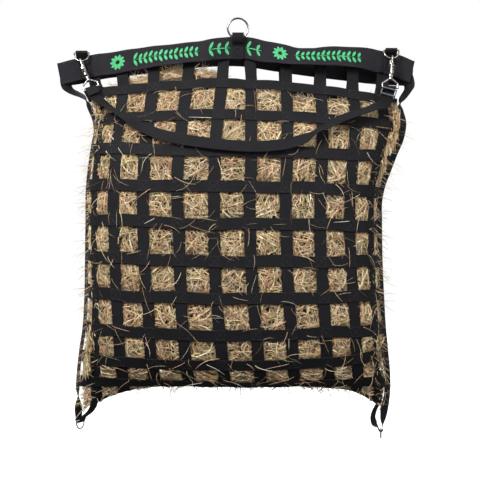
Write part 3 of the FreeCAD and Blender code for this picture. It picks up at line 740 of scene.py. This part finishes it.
def band_stitches():
    """Two long seams on the front band, and the boxes that hold the tab and the keepers."""
    seams = []
    points, across = front_band_line(np.linspace(-0.385, 0.375, 400))
    normal, _ = strap_frame(points, across)
    front = np.where(normal[:, 1:2] < 0, normal, -normal)
    for offset in (-SEAM_OFFSET, SEAM_OFFSET):
        seam = points + across * offset + front * (BAND_THICK / 2 - 0.0001)
        seams.append(seam[::2])
    face = band_plies()[0] * MM - STITCH_LIFT
    half = np.array([BAND_BOX_HALF, 0, 0])
    for x, low, high in BAND_BOXES:
        centre = np.array([x * MM, face, (low + high) / 2 * MM])
        seams += crossed_box(centre, half, np.array([0, 0, (high - low) / 2 * MM]))
    sew("band_stitches", seams, BAND_THREAD)


# ---- printed pattern on the band ----

LEAF_POINTS = 16
SPRIG_REACH = 0.0165


def leaf(along, height, length, width, angle):
    """Outline of one leaf in the band's own plane, pointed at both ends."""
    t = np.linspace(0, 2 * math.pi, LEAF_POINTS, endpoint=False)
    own = np.stack([np.cos(t) * length / 2, np.sin(t) * np.abs(np.sin(t)) ** 0.35 * width / 2], axis=1)
    turn = math.radians(angle)
    x = along + own[:, 0] * math.cos(turn) - own[:, 1] * math.sin(turn)
    z = height + own[:, 0] * math.sin(turn) + own[:, 1] * math.cos(turn)
    return np.stack([x, z], axis=1)


def garland(start, end, pitch=0.0098, reach=0.0135):
    """Leaves in pairs along a stem."""
    leaves = [leaf((start + end) / 2, 0.0, end - start, 0.0022, 0)]
    count = int((end - start - 0.012) / pitch)
    for i in range(count):
        along = start + 0.008 + (end - start - 0.016) * i / max(count - 1, 1)
        size = reach * (0.86 + 0.14 * math.cos(i * 2.4))
        leaves.append(leaf(along, size * 0.56, size * 1.15, 0.0058, 62))
        leaves.append(leaf(along, -size * 0.56, size * 1.15, 0.0058, -62))
    return leaves


def sprig(centre):
    """Round spray of leaves."""
    leaves = []
    for angle in range(0, 360, 36):
        turn = math.radians(angle)
        away = SPRIG_REACH * 0.62
        leaves.append(leaf(centre + math.cos(turn) * away, math.sin(turn) * away,
                           SPRIG_REACH * 0.74, 0.0062, angle))
    return leaves


def band_print():
    """Green leaf pattern printed on the front band: thin closed pads that follow its face."""
    outlines = sprig(-0.261) + garland(-0.230, -0.082) + garland(-0.066, -0.016, 0.0115, 0.0155)
    outlines += garland(0.016, 0.052, 0.0115, 0.0155) + sprig(0.091) + garland(0.121, 0.270)
    outlines = np.array(outlines)
    flat = outlines.reshape(-1, 2)
    points, across = front_band_line(flat[:, 0])
    ahead, _ = front_band_line(flat[:, 0] + 0.001)
    tangent = unit(ahead - points)
    normal = np.cross(across, tangent)
    normal = np.where(normal[:, 1:2] < 0, normal, -normal)
    base = points + across * flat[:, 1:2]
    faces_of_pad = [base + normal * (BAND_THICK / 2 + lift) for lift in (0.00025, -0.0006)]
    faces_of_pad = [points.reshape(-1, LEAF_POINTS, 3) for points in faces_of_pad]
    centres = [points.mean(axis=1, keepdims=True) for points in faces_of_pad]
    every = np.concatenate(faces_of_pad + centres, axis=1)
    top = np.arange(LEAF_POINTS)
    next_top = (top + 1) % LEAF_POINTS
    bottom = top + LEAF_POINTS
    next_bottom = next_top + LEAF_POINTS
    top_centre = np.full(LEAF_POINTS, 2 * LEAF_POINTS)
    triangles = [(top, next_top, top_centre), (next_bottom, bottom, top_centre + 1),
                 (bottom, next_top, top), (bottom, next_bottom, next_top)]
    pad = np.concatenate([np.stack(corners, axis=1) for corners in triangles])
    faces = repeat_faces(pad, len(outlines), 2 * LEAF_POINTS + 2)
    piece = make_object("band_print", every.reshape(-1, 3), faces, smooth=False)
    finish_piece(piece, PRINT, "net")


# ---- materials ----

SCRATCHES = 160  # scale of the scratches in plated metal


class Nodes:
    """Short names for building a node material."""

    def __init__(self, name):
        self.material = bpy.data.materials.new(name)
        self.material.use_nodes = True
        self.tree = self.material.node_tree
        self.shader = self.tree.nodes["Principled BSDF"]

    def add(self, kind, **settings):
        node = self.tree.nodes.new(kind)
        for key, value in settings.items():
            setattr(node, key, value)
        return node

    def link(self, source, target):
        self.tree.links.new(source, target)

    def drive(self, name, source):
        self.link(source, self.shader.inputs[name])

    def set(self, name, value):
        self.shader.inputs[name].default_value = value

    def math(self, operation, first, second=None):
        node = self.add("ShaderNodeMath", operation=operation)
        for socket, value in zip(node.inputs, (first, second)):
            if isinstance(value, (int, float)):
                socket.default_value = value
            elif value is not None:
                self.link(value, socket)
        return node.outputs[0]

    def ramp(self, factor, stops):
        node = self.add("ShaderNodeValToRGB")
        while len(node.color_ramp.elements) < len(stops):
            node.color_ramp.elements.new(0.5)
        for element, (place, colour) in zip(node.color_ramp.elements, stops):
            element.position = place
            element.color = (*colour, 1)
        self.link(factor, node.inputs["Fac"])
        return node.outputs["Color"]

    def ripple(self, place):
        """Rows of half waves, one for each whole step of place."""
        return self.math("ABSOLUTE", self.math("SINE", self.math("MULTIPLY", place, math.pi)))

    def noise(self, scale, detail, vector=None):
        node = self.add("ShaderNodeTexNoise")
        node.inputs["Scale"].default_value = scale
        node.inputs["Detail"].default_value = detail
        if vector is None:
            vector = self.add("ShaderNodeTexCoord").outputs["Object"]
        self.link(vector, node.inputs["Vector"])
        return node.outputs["Fac"]

    def bump(self, height, strength, distance, normal=None):
        node = self.add("ShaderNodeBump")
        node.inputs["Strength"].default_value = strength
        node.inputs["Distance"].default_value = distance
        self.link(height, node.inputs["Height"])
        if normal is not None:
            self.link(normal, node.inputs["Normal"])
        return node.outputs["Normal"]


def webbing_material(name, dark, light, width, rib=0.0017):
    """Woven black webbing: rows of small floats with painted shade between them and painted highlight on
    their crowns, a firmer edge, dust and wear.
    """
    n = Nodes(name)
    uv = n.add("ShaderNodeUVMap", uv_map="strap_uv").outputs["UV"]
    split = n.add("ShaderNodeSeparateXYZ")
    n.link(uv, split.inputs[0])
    across, along = split.outputs[0], split.outputs[1]
    column = n.math("MULTIPLY", across, 1 / rib)
    odd = n.math("MODULO", n.math("FLOOR", n.math("ADD", column, 400.0)), 2.0)
    phase = n.math("MULTIPLY", odd, 0.5)
    float_row = n.math("ADD", n.math("MULTIPLY", along, 1 / (rib * 1.5)), phase)
    rise = n.ripple(float_row)
    crown = n.ripple(column)
    weave = n.math("MULTIPLY", rise, n.math("POWER", crown, 0.6))
    dust = n.noise(38, 5)
    fine = n.noise(900, 2)
    # the float height lightens each float's crown and darkens the gaps between floats: painted highlight
    # and painted shade
    tone = n.math("ADD", n.math("MULTIPLY", weave, 0.45), n.math("MULTIPLY", dust, 0.45))
    tone = n.math("ADD", tone, n.math("MULTIPLY", fine, 0.2))
    edge = n.math("GREATER_THAN", n.math("ABSOLUTE", across), width / 2 - 0.0014)
    tone = n.math("ADD", tone, n.math("MULTIPLY", edge, 0.10))
    middle = [(a + b) / 2 for a, b in zip(dark, light)]
    n.drive("Base Color", n.ramp(tone, [(0.18, dark), (0.62, middle), (1.0, light)]))
    n.set("Roughness", 0.68)
    n.set("Sheen Weight", 0.03)
    n.set("Sheen Roughness", 0.4)
    n.set("Specular IOR Level", 0.16)
    normal = n.bump(weave, 0.6, 0.0004)
    n.drive("Normal", n.bump(n.noise(120, 3), 0.25, 0.0006, normal))
    return n.material


def thread_material():
    """Waxed black thread with a twist."""
    n = Nodes("black_thread")
    blacks = [(0.3, (0.008, 0.008, 0.010)), (0.7, (0.030, 0.028, 0.034))]
    n.drive("Base Color", n.ramp(n.noise(2200, 2), blacks))
    n.set("Roughness", 0.5)
    n.drive("Normal", n.bump(n.noise(3000, 1), 0.5, 0.0001))
    return n.material


def print_material():
    """Green print, a little worn where it lies over the weave."""
    n = Nodes("green_print")
    coarse = n.math("MULTIPLY", n.noise(420, 4), 0.6)
    fine = n.math("MULTIPLY", n.noise(1500, 2), 0.4)
    wear = n.math("ADD", coarse, fine)
    greens = [(0.22, (0.018, 0.15, 0.055)), (0.42, (0.045, 0.38, 0.14)), (0.75, (0.08, 0.50, 0.20))]
    n.drive("Base Color", n.ramp(wear, greens))
    n.set("Roughness", 0.6)
    n.set("Specular IOR Level", 0.3)
    n.drive("Normal", n.bump(wear, 0.4, 0.0003))
    return n.material


def metal_material(name, dark, light, roughness):
    """Plated metal with fine scratches and slightly duller patches."""
    n = Nodes(name)
    patches = n.noise(70, 4)
    n.drive("Base Color", n.ramp(patches, [(0.3, dark), (0.7, light)]))
    n.set("Metallic", 1.0)
    low = n.add("ShaderNodeMapRange")
    low.inputs["To Min"].default_value = roughness * 0.7
    low.inputs["To Max"].default_value = roughness * 1.5
    n.link(n.noise(SCRATCHES, 6), low.inputs["Value"])
    n.drive("Roughness", low.outputs["Result"])
    n.drive("Normal", n.bump(n.noise(SCRATCHES * 2, 5), 0.12, 0.0003))
    return n.material


def coated_material():
    """Black coated slide: satin, with a few paler rubbed patches."""
    n = Nodes("black_coating")
    greys = [(0.35, (0.13, 0.14, 0.16)), (0.72, (0.30, 0.33, 0.38))]
    n.drive("Base Color", n.ramp(n.noise(240, 4), greys))
    n.set("Metallic", 0.6)
    n.set("Roughness", 0.32)
    n.drive("Normal", n.bump(n.noise(500, 3), 0.15, 0.0002))
    return n.material


def hay_material():
    """Dry strands: each has its own colour, with streaks and darker nodes along it."""
    n = Nodes("hay_strands")
    own = n.add("ShaderNodeAttribute", attribute_name="strand").outputs["Color"]
    streaks = n.noise(260, 4)
    shade = n.ramp(streaks, [(0.3, (0.62, 0.56, 0.50)), (0.62, (1.0, 0.98, 0.96))])
    mix = n.add("ShaderNodeMix", data_type="RGBA", blend_type="MULTIPLY")
    mix.inputs["Factor"].default_value = 1.0
    n.link(own, mix.inputs["A"])
    n.link(shade, mix.inputs["B"])
    n.drive("Base Color", mix.outputs["Result"])
    n.set("Roughness", 0.55)
    n.set("Specular IOR Level", 0.35)
    n.drive("Normal", n.bump(n.noise(700, 3), 0.4, 0.0003))
    return n.material


def hay_core_material():
    """Hay deep in the net, its shade painted in: crossed streaks of straw over near black."""
    n = Nodes("hay_core")
    place = n.add("ShaderNodeTexCoord").outputs["Object"]
    stretch = n.add("ShaderNodeMapping")
    stretch.inputs["Scale"].default_value = (60, 60, 420)
    n.link(place, stretch.inputs["Vector"])
    first = n.noise(1.0, 5, stretch.outputs["Vector"])
    other = n.add("ShaderNodeMapping")
    other.inputs["Scale"].default_value = (420, 90, 70)
    n.link(place, other.inputs["Vector"])
    second = n.noise(1.0, 5, other.outputs["Vector"])
    both = n.math("MAXIMUM", first, second)
    # near black with dim straw streaks: painted shade of the hay deep in the net
    painted_shade_browns = [(0.50, (0.030, 0.019, 0.009)), (0.64, (0.13, 0.085, 0.036)), (0.80, (0.30, 0.21, 0.10))]
    n.drive("Base Color", n.ramp(both, painted_shade_browns))
    n.set("Roughness", 0.8)
    n.drive("Normal", n.bump(both, 0.8, 0.003))
    return n.material


WEBBING = webbing_material("black_webbing", (0.0022, 0.0021, 0.0026), (0.0130, 0.0115, 0.0135),
                           STRAP_WIDTH)
BAND_WEBBING = webbing_material("black_band", (0.0045, 0.0043, 0.0058), (0.026, 0.024, 0.030),
                                BAND_WIDTH, 0.0012)
THREAD = thread_material()
PRINT = print_material()
STEEL = metal_material("polished_steel", (0.26, 0.25, 0.24), (0.50, 0.48, 0.46), 0.16)
NICKEL = metal_material("nickel_plate", (0.22, 0.20, 0.18), (0.50, 0.46, 0.42), 0.20)
SPRING = metal_material("spring_wire", (0.38, 0.38, 0.40), (0.6, 0.6, 0.62), 0.3)
BLACK_METAL = coated_material()
HAY = hay_material()
HAY_CORE_SHADE = hay_core_material()


# ---- hay ----

STRAW = np.array([(0.86, 0.62, 0.36), (0.96, 0.76, 0.47), (0.66, 0.43, 0.24), (1.00, 0.88, 0.62),
                  (0.58, 0.49, 0.24), (0.44, 0.42, 0.19), (0.78, 0.49, 0.36), (0.88, 0.69, 0.42),
                  (0.46, 0.27, 0.15), (0.98, 0.84, 0.66)])
STRAW_SHARE = np.array([0.16, 0.16, 0.13, 0.11, 0.09, 0.06, 0.10, 0.09, 0.06, 0.04])


def hay_top(x):
    return np.interp(x, HAY_TOP_X, HAY_TOP_Z)


def strands(name, lines, widths):
    """One mesh of many thin stalks. lines is (stalks, points, 3); each stalk is a closed tapering tube."""
    count, steps, _ = lines.shape
    tangent = unit(np.gradient(lines, axis=1))
    helper = unit(random.normal(size=(count, 1, 3)))
    side = unit(np.cross(tangent, helper))
    other = np.cross(tangent, side) * STALK_FLATNESS
    taper = np.interp(np.linspace(0, 1, steps), [0, 0.15, 0.75, 1], [0.6, 1.0, 0.9, 0.35])
    around = 4
    points = rings_round(lines, side, other, widths[:, None] / 2 * taper, around)
    ends = np.array([[3, 2, 1, 0], [0, 1, 2, 3]]) + np.array([[0], [(steps - 1) * around]])
    stalk = np.concatenate([tube_faces(steps, around), ends])
    faces = repeat_faces(stalk, count, steps * around)
    kind = random.choice(len(STRAW), size=count, p=STRAW_SHARE)
    tone = random.normal(1.0, 0.22, count)[:, None]
    colour = np.clip(STRAW[kind] * tone, 0.03, 1.0)
    colour = np.concatenate([colour, np.ones((count, 1))], axis=1)
    colours = np.repeat(colour, steps * around, axis=0)
    piece = make_object(name, points.reshape(-1, 3), faces, colours=colours)
    finish_piece(piece, HAY, "net")


def straight_lines(start, heading, length, t):
    """Straight stalks from start, with points at the shares t of their length."""
    return start[:, None, :] + heading[:, None, :] * length[:, None, None] * t[:, None]


def under_top(lines, margin):
    """Which stalks stay below the top of the hay, or within a margin above it."""
    return lines[:, :, 2].max(axis=1) < hay_top(lines[:, :, 0].mean(axis=1)) + margin


def window_rise(along, row):
    """1 in the middle of a mesh window, 0 under a strap."""
    across = np.abs(np.mod(along / STRAP_PITCH, 1.0))
    across = np.minimum(across, 1 - across) * STRAP_PITCH
    up = np.abs(row - np.round(row - 0.5) - 0.5) * STRAP_PITCH
    inside = np.clip((0.027 - across) / 0.010, 0, 1) * np.clip((0.027 - up) / 0.010, 0, 1)
    return inside * inside * (3 - 2 * inside)


def stalk_paths(count, rows, lengths, curl=0.16, reach=0.99):
    """Bent stalks in the net's own measure: along and row of each point, and how far along it is."""
    along = random.uniform(-HALF_BAND * reach, HALF_BAND * reach, count)
    row = random.uniform(*rows, count)
    angle = random.uniform(0, math.pi, count)
    length = random.uniform(*lengths, count)
    bend = random.normal(0, curl, count)
    t = np.linspace(-0.5, 0.5, STALK_STEPS)
    turn = angle[:, None] + bend[:, None] * t * 4
    run = length[:, None] * t
    path_s = along[:, None] + run * np.cos(turn)
    path_row = row[:, None] + run * np.sin(turn) / STRAP_PITCH
    return path_s, path_row, run


def face_strands(name, face, count, depth, rise):
    """Stalks that lie along one face of the net, under its straps and out through its windows."""
    path_s, path_row, run = stalk_paths(count, STALK_ROWS, STALK_LENGTHS)
    path_s = np.clip(path_s, -HALF_BAND * 0.995, HALF_BAND * 0.995)
    path_row = np.clip(path_row, 1.2, BOTTOM_ROW - 0.05)
    normal = net_normal(face, path_s, path_row)
    sunk = random.uniform(depth, 0.0, count)[:, None]
    window = window_rise(path_s, path_row)
    tilt = random.normal(0, 0.13, count)[:, None] * run
    lift = UNDER_STRAPS + sunk + rise * window * random.uniform(0.1, 1.0, count)[:, None]
    lift = np.where(window > 0.25, lift + tilt, np.minimum(lift, UNDER_STRAPS))
    points = net_point(face, path_s, path_row) + normal * lift[..., None]
    keep = under_top(points, TOP_MARGIN)
    strands(name, points[keep], random.uniform(0.0009, 0.0028, keep.sum()))


def side_strands(name, sign, count):
    """Stalks that fill each side of the net, behind its side strap."""
    row = random.uniform(2.3, 10.6, count)
    side = net_point(FRONT_Y, sign * HALF_BAND, row)
    depth = np.minimum(smooth(BACK_Y, row), 85) * MM * 0.62
    inwards = -sign * random.uniform(0.0, 0.012, count)
    middle = side + np.stack([inwards, random.uniform(-1, 1, count) * depth, 0 * row], axis=1)
    middle[:, 0] -= sign * 0.16 * np.abs(middle[:, 1])
    angle = random.uniform(0, math.pi, count)
    heading = np.stack([random.normal(0, 0.10, count), np.cos(angle), np.sin(angle)], axis=1)
    length = random.uniform(0.022, 0.055, count)
    lines = straight_lines(middle, heading, length, np.linspace(-0.5, 0.5, STALK_STEPS))
    lines[:, :, 0] -= sign * 0.25 * np.abs(lines[:, :, 1] - middle[:, None, 1])
    keep = under_top(lines, TOP_MARGIN)
    strands(name, lines[keep], random.uniform(0.0009, 0.0024, keep.sum()))


def stray_strands(name, face, count):
    """Loose stalks that poke out of a window and lie over the straps."""
    path_s, path_row, _ = stalk_paths(count, STRAY_ROWS, STRAY_LENGTHS, curl=0.09, reach=0.97)
    path_s = np.clip(path_s, -HALF_BAND * 0.99, HALF_BAND * 0.99)
    path_row = np.clip(path_row, 1.8, BOTTOM_ROW - 0.1)
    t = np.linspace(0, 1, STALK_STEPS)
    out = 0.0050 + random.uniform(0.0, 0.010, count)[:, None] * t ** 1.5
    start = np.where(t < 0.2, 0.35, 1.0)
    normal = net_normal(face, path_s, path_row)
    points = net_point(face, path_s, path_row) + normal * (out * start)[..., None]
    keep = under_top(points, 3 * TOP_MARGIN)
    strands(name, points[keep], random.uniform(0.0005, 0.0012, keep.sum()))


def wisps(name, count):
    """Thin stalks that stick out of both sides of the net and droop."""
    sign = np.where(random.random(count) < 0.62, -1.0, 1.0)
    row = random.uniform(2.6, 11.6, count)
    start = net_point(FRONT_Y, sign * HALF_BAND * random.uniform(0.93, 0.985, count), row)
    start[:, 1] = random.uniform(-0.055, 0.055, count)
    start[:, 0] -= sign * WISP_ROOT
    length = np.minimum(0.020 + random.exponential(0.016, count), WISP_LIMIT)
    rise = random.normal(-0.25, 0.55, count)
    depth = random.normal(-0.15, 0.5, count)
    heading = unit(np.stack([sign, depth, rise], axis=1))
    t = np.linspace(0, 1, 7)
    lines = straight_lines(start, heading, length + WISP_ROOT, t)
    lines[:, :, 2] -= 0.010 * t ** 2 * random.uniform(0.2, 1.6, count)[:, None]
    strands(name, lines, random.uniform(0.0005, 0.0012, count))


def hanging_wisps(name, count):
    """Stalks that hang out of the bottom of the net."""
    along = random.uniform(-HALF_BAND * 0.86, HALF_BAND * 0.86, count)
    start = net_point(FRONT_Y, along, np.full(count, 11.75))
    start[:, 1] = random.uniform(-0.02, 0.02, count)
    length = 0.016 + np.minimum(random.exponential(0.014, count), 0.034)
    heading = unit(np.stack([random.normal(0, 0.8, count), random.normal(-0.3, 0.4, count),
                             np.full(count, -1.0)], axis=1))
    lines = straight_lines(start, heading, length, np.linspace(0, 1, STALK_STEPS))
    strands(name, lines, random.uniform(0.0006, 0.0013, count))


def top_strands(name, count):
    """Tangled stalks on top of the hay, some standing up behind the band."""
    x = random.uniform(-0.30, 0.30, count)
    deep = random.random(count)
    start = np.stack([x, 0.010 + deep * 0.030, hay_top(x) - random.uniform(0.0, 0.022, count)], axis=1)
    heading = unit(np.stack([random.normal(0, 1, count), random.normal(0, 0.35, count),
                             random.normal(0.05, 0.35, count)], axis=1))
    length = random.uniform(0.025, 0.065, count)
    t = np.linspace(-0.5, 0.5, STALK_STEPS)
    lines = straight_lines(start, heading, length, t)
    lines[:, :, 2] += random.normal(0, 0.12, count)[:, None] * t ** 2 * 0.10
    lines[:, :, 1] = np.clip(lines[:, :, 1], 0.012, 0.040)
    strands(name, lines, random.uniform(0.0008, 0.0020, count))


def hay_core():
    """Closed lumpy mass of hay inside the net, coloured near black as painted shade. It stands for the hay
    in the CAD model.
    """
    columns = 150
    rows = 90
    along = HALF_BAND * 0.985 * np.linspace(-1, 1, columns)
    inset = HAY_INSET * (1 - 0.65 * np.abs(along / HALF_BAND) ** 8)[:, None]
    guess = net_point(FRONT_Y, along, 2.0)
    top = np.interp(hay_top(guess[:, 0]) - 0.012, [-0.215, -0.195, -0.122, -0.07], [3.25, 3.0, 2.0, 1.0])
    bottom = 11.75 - 1.1 * np.abs(along / HALF_BAND) ** 10
    level = top[:, None] + (bottom - top)[:, None] * np.linspace(0, 1, rows)[None, :]
    grid = np.broadcast_to(along[:, None], level.shape)
    sides = []
    for face in (FRONT_Y, BACK_Y):
        surface = net_point(face, grid, level)
        lumps = 0.0035 * (np.sin(grid * 163 + level * 5.1) + np.sin(grid * 97 - level * 7.3 + 1.0))
        sides.append(surface - net_normal(face, grid, level) * (inset + lumps)[..., None])
    middle = (sides[0] + sides[1])[..., 1] / 2
    for side in sides:
        away = side[..., 1] - middle
        side[..., 1] = np.where(np.abs(away) < CORE_HALF, middle + np.sign(away) * CORE_HALF, side[..., 1])
    front, back = sides[0], sides[1][:, ::-1]
    blend = np.linspace(0, 1, 12)[1:-1]
    rim = back[:, -1:, :] * (1 - blend)[None, :, None] + front[:, :1, :] * blend[None, :, None]
    rim[:, :, 2] += 0.006 * np.sin(blend * math.pi)[None, :]
    rings = np.concatenate([front, back, rim], axis=1)
    around = rings.shape[1]
    faces = np.concatenate([tube_faces(columns, around), cap_faces(columns, around)])
    piece = make_object("hay_core", rings.reshape(-1, 3), faces[:, ::-1])
    finish_piece(piece, HAY_CORE_SHADE, "net", ["hay_fill"])


# ---- everything in place ----

add_camera()
add_stage()

for number in range(STRAPS_PER_FACE):
    vertical_strap("front_strap_%02d" % (number + 1), FRONT_Y, strap_position(number))
    vertical_strap("back_strap_%02d" % (number + 1), BACK_Y, strap_position(number))
for number in range(ROW_COUNT):
    row_strap("row_strap_%02d" % (number + 1), FIRST_ROW + number)
side_strap("side_strap_left", -1, LEFT_SWOOP, LEFT_CORNER, LEFT_CORNER_TWIST, LEFT_TURN, LEFT_TAIL)
side_strap("side_strap_right", 1, RIGHT_SWOOP, RIGHT_CORNER, RIGHT_CORNER_TWIST, RIGHT_TURN, RIGHT_TAIL)
bottom_binding()
front_band()
back_band()
ring_tab()
keeper("keeper_left", LEFT_BAR)
keeper("keeper_right", RIGHT_BAR)
closing_strap()
bolt_spring("left", LEFT_BAR, LEFT_HOOK_AXIS, -HOOK_TURN)
bolt_spring("right", RIGHT_BAR, RIGHT_HOOK_AXIS, HOOK_TURN)
crossing_stitches("front_stitches", FRONT_Y)
crossing_stitches("back_stitches", BACK_Y)
band_stitches()
band_print()

hay_core()
face_strands("hay_front_deep", FRONT_Y, 6500, depth=-0.010, rise=0.001)
face_strands("hay_front", FRONT_Y, 9500, depth=-0.005, rise=0.009)
face_strands("hay_back", BACK_Y, 12000, depth=-0.008, rise=0.008)
side_strands("hay_left", -1, 3400)
side_strands("hay_right", 1, 3400)
stray_strands("hay_front_strays", FRONT_Y, 440)
stray_strands("hay_back_strays", BACK_Y, 450)
top_strands("hay_top", 2600)
wisps("hay_side_wisps", 700)
hanging_wisps("hay_low_wisps", 260)

NODE_LOOKS = {"hanging_ring": (STEEL, "ring_steel"), "slide_adjuster": (BLACK_METAL, "black_metal")}
for side_name in ("left", "right"):
    for stem in ("d_ring_", "snap_hook_", "trigger_bolt_", "swivel_eye_", "corner_ring_"):
        NODE_LOOKS[stem + side_name] = (NICKEL, "nickel_plate")
for node_name, (look, slot_name) in NODE_LOOKS.items():
    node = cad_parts[node_name]
    node.data.materials.clear()
    node.data.materials.append(look)
